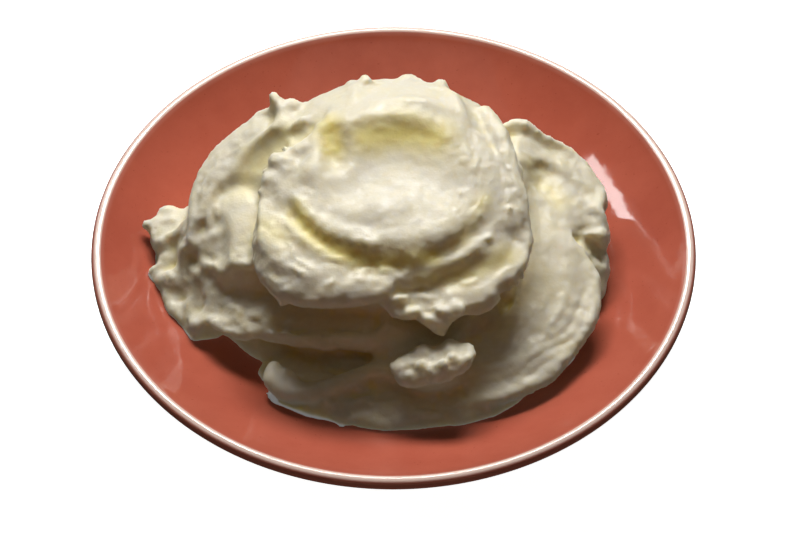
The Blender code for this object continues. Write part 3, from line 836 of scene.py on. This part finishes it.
def smearSides(thing):
    # shelf with the knobbly edge
    smear(thing, [(4, -36, 44.2), (10, -36, 44.4), (16, -35.4, 44.6)], 4.0, [0.4], 0.5, 3.0)
    smear(thing, [(18, -35, 45.6), (28, -31.6, 46.8), (35, -25.6, 48.2), (39, -17, 49.6)], 3.6, [0.22], 0.6,
        2.6)
    # right back plateau and the lobe in front of it
    smear(thing, [(37, 21, 46), (43, 19.6, 43.2), (50, 17, 40), (56, 10, 36.6)], 9,
        [-0.16, -0.16, -0.16, -0.1], 0.4, 6.0)
    smear(thing, [(47, 13, 39.4), (53, 7, 37), (58, 0, 34)], 5, [0, 0, 0.1], 0.8)
    # inner part of the long sweep
    smear(thing, [(45, 13, 38.6), (46.8, 4, 37.6), (47.2, -6, 36.4), (46.4, -16, 34), (43, -26, 30.6),
        (36, -34, 28), (27, -40, 26.6)], 6.4, [-0.04, -0.04, -0.1], 0, 4.0, 0.85)
    # bank outside the groove
    smear(thing, [(-40, 26, 52.4), (-49, 20.6, 48), (-54, 11, 44.6), (-56, 1, 41), (-54.6, -9, 37)], 4.6,
        [0.2, 0.25, 0.3, 0.3], 1.0, 4.0)
    # lobes at the left
    smear(thing, [(-66, 8, 29.4), (-73, 7, 28)], 4.4, [0], 1.0, 3.0)
    smear(thing, [(-63, -3, 27.4), (-70, -4.6, 24.6)], 3.6, [-0.3], 0.6, 3.0)
    # second tier at the left
    smear(thing, [(-56, -20, 26), (-50, -24, 28), (-43, -27.6, 28.8), (-34, -30, 29.6), (-22, -31.6, 31),
        (-8, -32.6, 32)], 5, [0.35, 0.35, 0.35, 0.35, 0.35], 0.6, 4.0)
    # smooth groove round the left, and the hollow between the left lobes and the second tier
    markGroove(thing, [(-42.8, 11, 46.4), (-45.4, 4, 43.6), (-46.4, -4, 43.0), (-47, -12, 43.4)])
    smear(thing, [(-46, 2, 43.6), (-46.6, -6, 42.4), (-46, -11, 41.4), (-44, -17, 40)], 7,
        [0.22, 0.22, 0.26, 0.26], 1.0, 4.0)
    smear(thing, [(-54, -6, 38), (-54, -13, 33), (-54.6, -20, 28), (-55, -25, 25)], 5, [0.5, 0.5, 0.4, 0.3],
        0.5, 4.0)
    spoonMark(thing, [(-60, -11, 28.6), (-60.4, -16, 25.6), (-59, -22, 22.6)], [5, 7.5, 6], (-0.3, -0.2, 1))


# for each torn edge: its line, how many crumbs, sizes, how far they scatter, and the seed
crumbRuns = [
    ([(-38, -21, 46.4), (-32, -33, 45), (-22, -37, 45), (-10, -37, 45.4)], 16, (0.7, 1.3), 0.5, 11),
    ([(-1, -36, 43.6), (6, -38.6, 43), (14, -39, 43), (18, -38, 43.4)], 22, (1.1, 2.0), 0.9, 12),
    ([(18, -38, 43), (26, -35.6, 43.4), (32, -32, 44), (37, -26, 45.2)], 16, (0.7, 1.2), 0.5, 18),
    ([(2, -51.4, 31), (11, -52, 33.4), (20, -50, 36)], 22, (1.0, 1.7), 0.7, 13),
    ([(24, -21, 52), (31, -15, 52.6), (35, -8, 53.6)], 14, (0.6, 1.2), 0.5, 14),
    ([(-56, -25, 25), (-46, -31.6, 26.4), (-41, -31, 27)], 10, (0.6, 1.1), 0.4, 15),
    ([(-32, 12, 56.6), (-36, 5, 54.6), (-37.6, -3, 53)], 12, (0.7, 1.3), 0.5, 16),
    ([(58, -14, 30.4), (57.6, -28, 27.2), (45, -45.8, 22.8), (27, -53.6, 20)], 24, (0.6, 1.1), 0.4, 17),
]

# for each set of streaks: its line, reach, pitch, depth, the way the surface faces there, and a phase
streakRuns = [
    ([(21, 14, 59.6), (23.6, 4, 57.4), (23, -7, 56), (18, -16, 55)], 6, 2.0, 0.9, (0.2, 0, 1), 1.1),
    ([(31, 19, 57.4), (33, 6, 55.6), (34.4, -6, 53.6), (33, -16, 51.6)], 5, 2.2, 1.0, (0.5, 0, 1), 2.4),
    ([(57, -16, 32), (54, -29, 29), (46, -39, 27), (34, -46, 25), (18, -50, 22)], 8, 2.8, 0.6,
        (0.5, -0.4, 1), 0.6),
    ([(-52, 18, 47), (-55, 8, 43), (-54, -4, 38)], 7, 2.4, 0.5, (-0.3, 0, 1), 2.0),
    ([(-40, 36, 44), (-20, 48, 42), (2, 52, 41), (24, 46, 40), (38, 36, 36)], 9, 2.6, 0.6, (0, 0.8, 1), 1.4),
    ([(-50, 30, 28), (-28, 52, 24), (0, 59, 23), (26, 53, 23), (44, 36, 24)], 9, 2.8, 0.6, (0, 1, 0.6), 0.3),
]


def makeMash():
    rough = mashLook["roughSkin"]
    thing = heapUp()
    print("mash: heaped up")
    hollowTop(thing)
    markGroove(thing, [(-42.8, 11, 46.5), (-45.4, 3, 42.2), (-46.4, -5, 39.2), (-46.7, -14, 37.4)])
    markBack(thing)
    undercut(thing)
    knit(thing, rough, 3)
    thing = add(thing, ledgePieces() + rightStrands() + longSweep() + backFolds(), rough, 3)
    # crisp crease in front of the tongue
    spoonMark(
        thing,
        [(-30.4, -9, 56.6), (-27.6, -14.6, 55.6), (-22, -21.4, 54), (-14, -25.8, 52.4), (-6, -27.4, 51.2),
            (3, -27.2, 50.8), (11, -26, 51.4), (17.6, -22.6, 52.6), (22.6, -17, 54), (26, -8.4, 55.6),
            (27.4, 1, 57), (27.6, 8, 58.4)],
        [0.6, 0.9, 1.2, 1.4, 1.4, 1.4, 1.4, 1.3, 1.1, 1, 0.8, 0.5],
        (0, 0.5, 1),
    )
    # the tongue stays level to the crease on the left
    smear(thing, [(-26.4, -6, 57.3), (-22, -13.4, 56.9), (-14.6, -19, 56.5), (-6, -21.4, 56.2)], 3.6,
        [0.03], 0.2, 3.0)
    # hollows in the ledge
    smear(thing, [(-38, -7, 53.6), (-36, -15, 53.2), (-31, -24, 52.4), (-23, -30, 51.3), (-12, -32.6, 50.2),
        (1, -32.6, 49.2)], 4.6, [0.04, 0.06, 0.1, 0.14, 0.14], 0.9, 3.0)
    spoonMark(thing, [(-36.6, -14, 53.3), (-34, -17.6, 52.8), (-31, -20, 52.9)], [5, 7, 5], (-0.2, -0.3, 1))
    # dark trough between the two right folds
    spoonMark(thing, [(5, -31, 48.8), (14, -30.8, 48.4), (23, -28.6, 48.6), (31, -24, 49.2),
        (36, -17, 50.2)], [3, 5, 6, 5.6, 3.4], (0.15, -0.25, 1))
    spoonMark(thing, [(31.6, -7, 53.2), (33.4, -14, 51), (34.8, -20, 48.4)], [0.8, 1.2, 1], (0, 0, 1))
    thing = add(thing, frontLobes() + leftTips() + rightLobes() + crestTips(), rough, 3)
    spoonMark(thing, [(-57, -23, 16.4), (-49, -29.6, 16.6), (-41, -34.6, 16.8), (-32, -39.6, 17.4),
        (-22, -43.4, 18.4)], [3, 5, 6, 6, 4], (-0.6, -1, 0))
    spoonMark(thing, [(-46, -32.6, 18.4), (-34, -33.4, 18.6), (-20, -37, 20.4), (-10, -39.4, 21),
        (-2, -43, 23)], [4.6, 6.4, 5.4, 4.6, 2], (0, -1, 0.15))
    thing = add(thing, finger(), rough, 2)
    smearSides(thing)
    knit(thing, rough, 2)
    spoonMark(thing, [(54.6, -3, 33), (58, -4, 30.6), (62, -5, 27)], [2.4, 3.4, 4], (0.4, -0.5, 1))
    for run in streakRuns:
        streaks(thing, *run)
    print("mash: folds, spoon marks and streaks")
    thing = joined([thing] + wispSets(thing), "mash_mound")
    edges = [crumbs(*run) for run in crumbRuns]
    thing = add(thing, edges, mashLook["fineSkin"], 1)
    dropLoose(thing)
    sharpen(thing)
    tearEdges(thing)
    points = readPoints(thing)
    lowest = bowlInside(np.hypot(points[:, 0], points[:, 1])) + mashLook["restingGap"]
    points[:, 2] = np.maximum(points[:, 2], lowest)
    writePoints(thing, points)
    pick(thing)
    bpy.ops.object.shade_smooth()
    print("mash:", len(thing.data.polygons), "faces")
    return thing


# the profile is turned as a rising stack of rings, from the middle of the floor over the lip to the foot
def turnedBowl():
    s = bowlShape
    crest = s["rimRadius"] - s["lipRadius"]
    inner = [(r, bowlInside(r)) for r in np.linspace(0, s["wallReach"] - 0.6, 40)]
    slope = math.atan(s["wallRise"] * s["wallPower"] / s["wallReach"])
    middle = s["rimHeight"] - s["lipRadius"]
    lip = [
        (crest + s["lipRadius"] * math.cos(a), middle + s["lipRadius"] * math.sin(a))
        for a in np.linspace(math.pi / 2 + slope, slope - math.pi / 2, 20)
    ]
    outerRadii = np.linspace(s["wallReach"] - 2.6, s["footOuter"] + 2, 16)
    outer = [(r, bowlInside(r) - s["wallThickness"]) for r in outerRadii]
    foot = [
        (s["footOuter"], s["footEase"]),
        (s["footOuter"] - s["footEase"], 0.0),
        (s["footInner"] + s["footEase"], 0.0),
        (s["footInner"], s["footEase"]),
        (s["footInner"] - 1.0, s["footRecess"]),
        (0.0, s["footRecess"]),
    ]
    profile = inner[1:] + lip + outer + foot
    radius, height = profile[0]
    bpy.ops.mesh.primitive_circle_add(
        vertices=s["turns"],
        radius=radius * mm,
        fill_type="TRIFAN",
        location=(0, 0, height * mm),
    )
    thing = bpy.context.object
    thing.name = "coupe_bowl"
    bpy.ops.object.transform_apply(location=True, rotation=True, scale=True)
    bpy.ops.object.mode_set(mode="EDIT")
    bpy.ops.mesh.select_all(action="SELECT")
    bpy.ops.mesh.region_to_loop()
    for (radius, height), (nextRadius, nextHeight) in zip(profile, profile[1:]):
        bpy.ops.mesh.extrude_edges_move(TRANSFORM_OT_translate={"value": (0, 0, (nextHeight - height) * mm)})
        grow = nextRadius / radius
        bpy.ops.transform.resize(value=(grow, grow, 1), center_override=(0, 0, 0))
    bpy.ops.mesh.merge(type="CENTER")
    bpy.ops.mesh.select_all(action="SELECT")
    bpy.ops.mesh.normals_make_consistent(inside=False)
    bpy.ops.object.mode_set(mode="OBJECT")
    bpy.ops.object.shade_smooth()
    print("bowl:", len(thing.data.polygons), "faces")
    return thing


def newMaterial(name):
    material = bpy.data.materials.new(name)
    material.use_nodes = True
    tree = material.node_tree
    return material, tree, tree.nodes["Principled BSDF"]


# share of the sky each point sees over the heap around it
def openSky(points):
    side = 180  # the mash on a grid of 1 mm cells
    heights = np.zeros((side, side))
    cells = np.clip((points[:, :2] + side / 2).astype(int), 0, side - 1)
    np.maximum.at(heights, (cells[:, 0], cells[:, 1]), points[:, 2])
    seen = np.zeros(len(points))
    ways = np.linspace(0, 2 * math.pi, 16, endpoint=False)
    for way in ways:
        steepest = np.zeros(len(points))
        for distance in (2, 3, 4.5, 6.5, 9, 12, 16, 22):
            spots = points[:, :2] + distance * np.array([math.cos(way), math.sin(way)])
            spots = np.clip((spots + side / 2).astype(int), 0, side - 1)
            steepest = np.maximum(steepest, (heights[spots[:, 0], spots[:, 1]] - points[:, 2]) / distance)
        seen += 1 - np.sin(np.arctan(steepest))
    return seen / len(ways)


# where a yellow shade is painted in whatever the fold depth: the hollow's back wall, the pocket, the crease,
# the trough and other shaded dips; a line, its reach and how much
paintedShadeParts = [
    ([(-8, 12, 60), (2, 13.6, 60.6), (12, 12, 60)], 5.5, 1.0),
    ([(-18.6, 15, 61), (-17.4, 10, 59)], 4.4, 1.0),
    ([(-29, -12, 56), (-22, -20.6, 54), (-14, -25, 52.4), (-5, -27, 51.4), (11, -25.6, 51.6)], 3.0, 1.0),
    ([(13, -25, 52), (20, -19.6, 53.4), (26, -8, 55.6)], 2.2, 0.5),
    ([(-31, 17, 55), (-40, 13, 49), (-43.6, 7, 45)], 5.0, 0.45),
    ([(8, -30.6, 47.6), (20, -28.6, 47), (32, -22.6, 48)], 3.5, 0.6),
    ([(41, 17, 43.6), (46, 13, 40), (49, 7, 38)], 3.4, 0.4),
    ([(-36, -15, 52), (-32, -19, 52)], 4.0, 0.5),
]


# how deep each point lies in the folds and how little sky it sees, kept for the colour: a painted yellow
# shade in creases, recesses and shaded hollows
def markRecesses(thing):
    rise = 0.5 * standOut(thing, 70) + standOut(thing, 14)  # broad and narrow folds
    shut = np.clip((0.75 - openSky(readPoints(thing))) / 0.4, 0, 1)
    paintedShade = np.clip(0.2 * shut + np.clip((-rise - 0.5) / 1.6, 0, 0.6), 0, 1)
    paintedShade = np.maximum(paintedShade, partShares(thing, paintedShadeParts))
    layer = thing.data.attributes.new("paintedShade", "FLOAT", "POINT")
    layer.data.foreach_set("value", paintedShade)


def noiseNode(tree, size, detail, roughness, vector):
    noise = tree.nodes.new("ShaderNodeTexNoise")
    noise.inputs["Scale"].default_value = 1 / (size * mm)
    noise.inputs["Detail"].default_value = detail
    noise.inputs["Roughness"].default_value = roughness
    tree.links.new(vector, noise.inputs["Vector"])
    return noise.outputs["Fac"]


def rangeNode(tree, value, fromRange, toRange):
    node = tree.nodes.new("ShaderNodeMapRange")
    node.inputs["From Min"].default_value, node.inputs["From Max"].default_value = fromRange
    node.inputs["To Min"].default_value, node.inputs["To Max"].default_value = toRange
    tree.links.new(value, node.inputs["Value"])
    return node.outputs["Result"]


def mixNode(tree, share, first, second):
    node = tree.nodes.new("ShaderNodeMix")
    node.data_type = "RGBA"
    for name, value in (("Factor", share), ("A", first), ("B", second)):
        socket = next(s for s in node.inputs if s.name == name and s.enabled)
        if isinstance(value, (int, float, tuple)):
            socket.default_value = value
        else:
            tree.links.new(value, socket)
    return next(s for s in node.outputs if s.enabled)


def bumpNode(tree, height, distance, strength, under=None):
    node = tree.nodes.new("ShaderNodeBump")
    node.inputs["Strength"].default_value = strength
    node.inputs["Distance"].default_value = distance * mm
    tree.links.new(height, node.inputs["Height"])
    if under:
        tree.links.new(under, node.inputs["Normal"])
    return node.outputs["Normal"]


def potatoFinish(thing):
    markRecesses(thing)
    material, tree, shader = newMaterial("creamy_potato")
    place = tree.nodes.new("ShaderNodeTexCoord").outputs["Object"]
    paintedShade = tree.nodes.new("ShaderNodeAttribute")
    paintedShade.attribute_name = "paintedShade"
    cream = (*mashLook["colour"], 1)
    mottle = rangeNode(tree, noiseNode(tree, mashLook["mottleSize"], 3, 0.6, place), (0.35, 0.65), (0, 1))
    body = mixNode(tree, mottle, cream, (*mashLook["butterColour"], 1))
    specks = rangeNode(tree, noiseNode(tree, mashLook["speckSize"], 2, 0.5, place), (0.52, 0.7), (0, 0.35))
    body = mixNode(tree, specks, body, (*mashLook["paleColour"], 1))
    # painted shade: the yellow shade tone is mixed in where the folds are deep or shut in from the sky
    share = rangeNode(tree, paintedShade.outputs["Fac"], (0.0, 0.9), (0, 0.9))
    body = mixNode(tree, share, body, (*mashLook["paintedShadeColour"], 1))
    tree.links.new(body, shader.inputs["Base Color"])
    gloss = noiseNode(tree, mashLook["glossSize"], 3, 0.6, place)
    gloss = rangeNode(tree, gloss, (0.3, 0.7), mashLook["roughness"])
    tree.links.new(gloss, shader.inputs["Roughness"])
    size, depth = mashLook["curdBump"]
    coarse = bumpNode(tree, noiseNode(tree, size, 3, 0.55, place), depth, 0.4)
    size, depth = mashLook["grainBump"]
    fine = bumpNode(tree, noiseNode(tree, size, 2, 0.5, place), depth, 0.4, coarse)
    tree.links.new(fine, shader.inputs["Normal"])
    shader.inputs["Subsurface Weight"].default_value = mashLook["glowShare"]
    shader.inputs["Subsurface Scale"].default_value = mashLook["glow"] * mm
    shader.inputs["Subsurface Radius"].default_value = mashLook["glowByColour"]
    thing.data.materials.clear()
    thing.data.materials.append(material)


glazeLook = {
    "colour": (0.525, 0.122, 0.076),
    "darkColour": (0.475, 0.104, 0.064),
    "speckColour": (0.30, 0.055, 0.035),
    "breakColour": (0.93, 0.74, 0.66),  # thin glaze on the lip
    "outsideColour": (0.46, 0.17, 0.12),
    "roughness": (0.045, 0.085),
    "poolSize": 16,
    "speckSize": 0.9,
    "glossSize": 9,
    "rippleBump": (11, 0.35),  # size and depth
    "poreBump": (1.2, 0.02),
    "lipDepth": 0.45,  # how far down the break in the glaze reaches
    "edgeWidth": 0.9,
}


def glazeFinish(thing):
    points = readPoints(thing)
    radius = np.hypot(points[:, 0], points[:, 1])
    lip = np.clip((points[:, 2] - bowlShape["rimHeight"] + glazeLook["lipDepth"]) / 0.3, 0,
        1) * (radius > 80)
    outside = np.clip((radius - bowlShape["rimRadius"] + glazeLook["edgeWidth"]) / 0.6, 0, 1)
    for name, share in (("lip", lip), ("outside", outside)):
        layer = thing.data.attributes.new(name, "FLOAT", "POINT")
        layer.data.foreach_set("value", share)
    material, tree, shader = newMaterial("coral_glaze")
    place = tree.nodes.new("ShaderNodeTexCoord").outputs["Object"]
    pooled = rangeNode(tree, noiseNode(tree, glazeLook["poolSize"], 4, 0.6, place), (0.35, 0.65), (0, 1))
    body = mixNode(tree, pooled, (*glazeLook["colour"], 1), (*glazeLook["darkColour"], 1))
    specks = rangeNode(tree, noiseNode(tree, glazeLook["speckSize"], 2, 0.5, place), (0.68, 0.76), (0, 0.5))
    body = mixNode(tree, specks, body, (*glazeLook["speckColour"], 1))
    for name, colour, most in (("outside", "outsideColour", 1.0), ("lip", "breakColour", 0.9)):
        layer = tree.nodes.new("ShaderNodeAttribute")
        layer.attribute_name = name
        share = rangeNode(tree, layer.outputs["Fac"], (0, 1), (0, most))
        body = mixNode(tree, share, body, (*glazeLook[colour], 1))
    tree.links.new(body, shader.inputs["Base Color"])
    gloss = noiseNode(tree, glazeLook["glossSize"], 3, 0.6, place)
    gloss = rangeNode(tree, gloss, (0.3, 0.7), glazeLook["roughness"])
    tree.links.new(gloss, shader.inputs["Roughness"])
    size, depth = glazeLook["rippleBump"]
    ripple = bumpNode(tree, noiseNode(tree, size, 2, 0.5, place), depth, 0.3)
    size, depth = glazeLook["poreBump"]
    pores = bumpNode(tree, noiseNode(tree, size, 2, 0.5, place), depth, 0.25, ripple)
    tree.links.new(pores, shader.inputs["Normal"])
    thing.data.materials.clear()
    thing.data.materials.append(material)


setLook = {
    "lens": 105.592,
    "sensor": 36,
    "raised": 49.856,  # camera height, degrees
    "away": 700.0,
    "target": (1.91, -7.09, 25.0),
    "floorSide": 6000,
    "wallRadius": 2900,
    "wallHeight": 6000,
    "wallMiddle": 2900,
    "floorGap": 0.5,
    "floorColour": (0.9, 0.9, 0.9, 1),
    "floorGlow": 0.95,
    "airColour": (1, 0.82, 0.68, 1),
    "airGlow": 0.013,
}

# turn is in degrees from the back towards the right; a lamp with lights=False only mirrors in the glaze
lamps = {
    "softbox": dict(turn=-3, raised=51, away=960, sizes=(580, 280), power=11.4, colour=(1.0, 0.99, 0.955)),
    "window": dict(turn=-46.7, raised=38.4, away=920, sizes=(62, 620), power=1.5, roll=-38, lights=False),
    "bounce": dict(turn=0, raised=-90, away=30.2, sizes=(600, 600), power=0.22, mirrors=False),
    "backdrop": dict(turn=-15, raised=8, away=1200, sizes=(1600, 300), power=1.5, lights=False),
    "ceiling": dict(turn=180, raised=80, away=1100, sizes=(900, 700), power=0.5, colour=(1.0, 0.92, 0.8)),
    "card": dict(turn=176, raised=16, away=1000, sizes=(800, 240), power=0.5, colour=(1.0, 0.47, 0.29)),
}
lampAim = (0, 0, 30)


def pointAt(thing, place, target):
    thing.location = place
    thing.rotation_euler = (Vector(place) - Vector(target)).to_track_quat("Z", "Y").to_euler()


def addCamera():
    data = bpy.data.cameras.new("camera")
    data.lens = setLook["lens"]
    data.sensor_width = setLook["sensor"]
    data.clip_start = 0.01
    camera = bpy.data.objects.new("camera", data)
    bpy.context.scene.collection.objects.link(camera)
    tilt = math.radians(setLook["raised"])
    target = Vector(setLook["target"]) * mm
    place = target + Vector((0, -math.cos(tilt), math.sin(tilt))) * setLook["away"] * mm
    pointAt(camera, place, target)
    bpy.context.scene.camera = camera


def addLamp(name, turn, raised, away, sizes, power, colour=(1, 1, 1), roll=0, lights=True, mirrors=True):
    data = bpy.data.lights.new(name, "AREA")
    data.shape = "RECTANGLE"
    data.size, data.size_y = [side * mm for side in sizes]
    data.energy = power
    data.color = colour
    lamp = bpy.data.objects.new(name, data)
    bpy.context.scene.collection.objects.link(lamp)
    t, r = math.radians(turn), math.radians(raised)
    way = Vector((math.sin(t) * math.cos(r), math.cos(t) * math.cos(r), math.sin(r)))
    aim = Vector(lampAim) * mm
    pointAt(lamp, aim + way * away * mm, aim)
    lamp.rotation_euler.rotate_axis("Z", math.radians(roll))
    lamp.visible_diffuse = lights
    lamp.visible_glossy = mirrors
    lamp.visible_camera = False


# a pale floor, and a pale wall all round so that low views have no dark horizon
def addFloorAndWall():
    floorHeight = -setLook["floorGap"] * mm
    bpy.ops.mesh.primitive_plane_add(size=setLook["floorSide"] * mm, location=(0, 0, floorHeight))
    floor = bpy.context.object
    floor.name = "floor"
    bpy.ops.mesh.primitive_cylinder_add(
        vertices=96,
        radius=setLook["wallRadius"] * mm,
        depth=setLook["wallHeight"] * mm,
        end_fill_type="NOTHING",
        location=(0, 0, setLook["wallMiddle"] * mm),
    )
    wall = bpy.context.object
    wall.name = "wall"
    wall.visible_shadow = False
    material, tree, shader = newMaterial("pale_floor")
    shader.inputs["Base Color"].default_value = setLook["floorColour"]
    shader.inputs["Roughness"].default_value = 0.9
    shader.inputs["Emission Color"].default_value = (1, 1, 1, 1)
    shader.inputs["Emission Strength"].default_value = setLook["floorGlow"]
    for piece in (floor, wall):
        piece.data.materials.append(material)
        piece.visible_diffuse = False
        piece.visible_glossy = False


def addWorld():
    world = bpy.data.worlds.new("studio")
    bpy.context.scene.world = world
    world.use_nodes = True
    back = world.node_tree.nodes["Background"]
    back.inputs[0].default_value = setLook["airColour"]
    back.inputs[1].default_value = setLook["airGlow"]
    bpy.context.scene.view_settings.view_transform = "Standard"


mound = makeMash()
potatoFinish(mound)
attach(mound, "root")
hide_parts("mash")

dish = turnedBowl()
glazeFinish(dish)
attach(dish, "root")
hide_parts("bowl")
dish.visible_diffuse = False  # the glaze throws no red back onto the mash

addCamera()
addFloorAndWall()
addWorld()
for name, settings in lamps.items():
    addLamp(name, **settings)
print("set: camera, floor, wall and", len(lamps), "lamps")
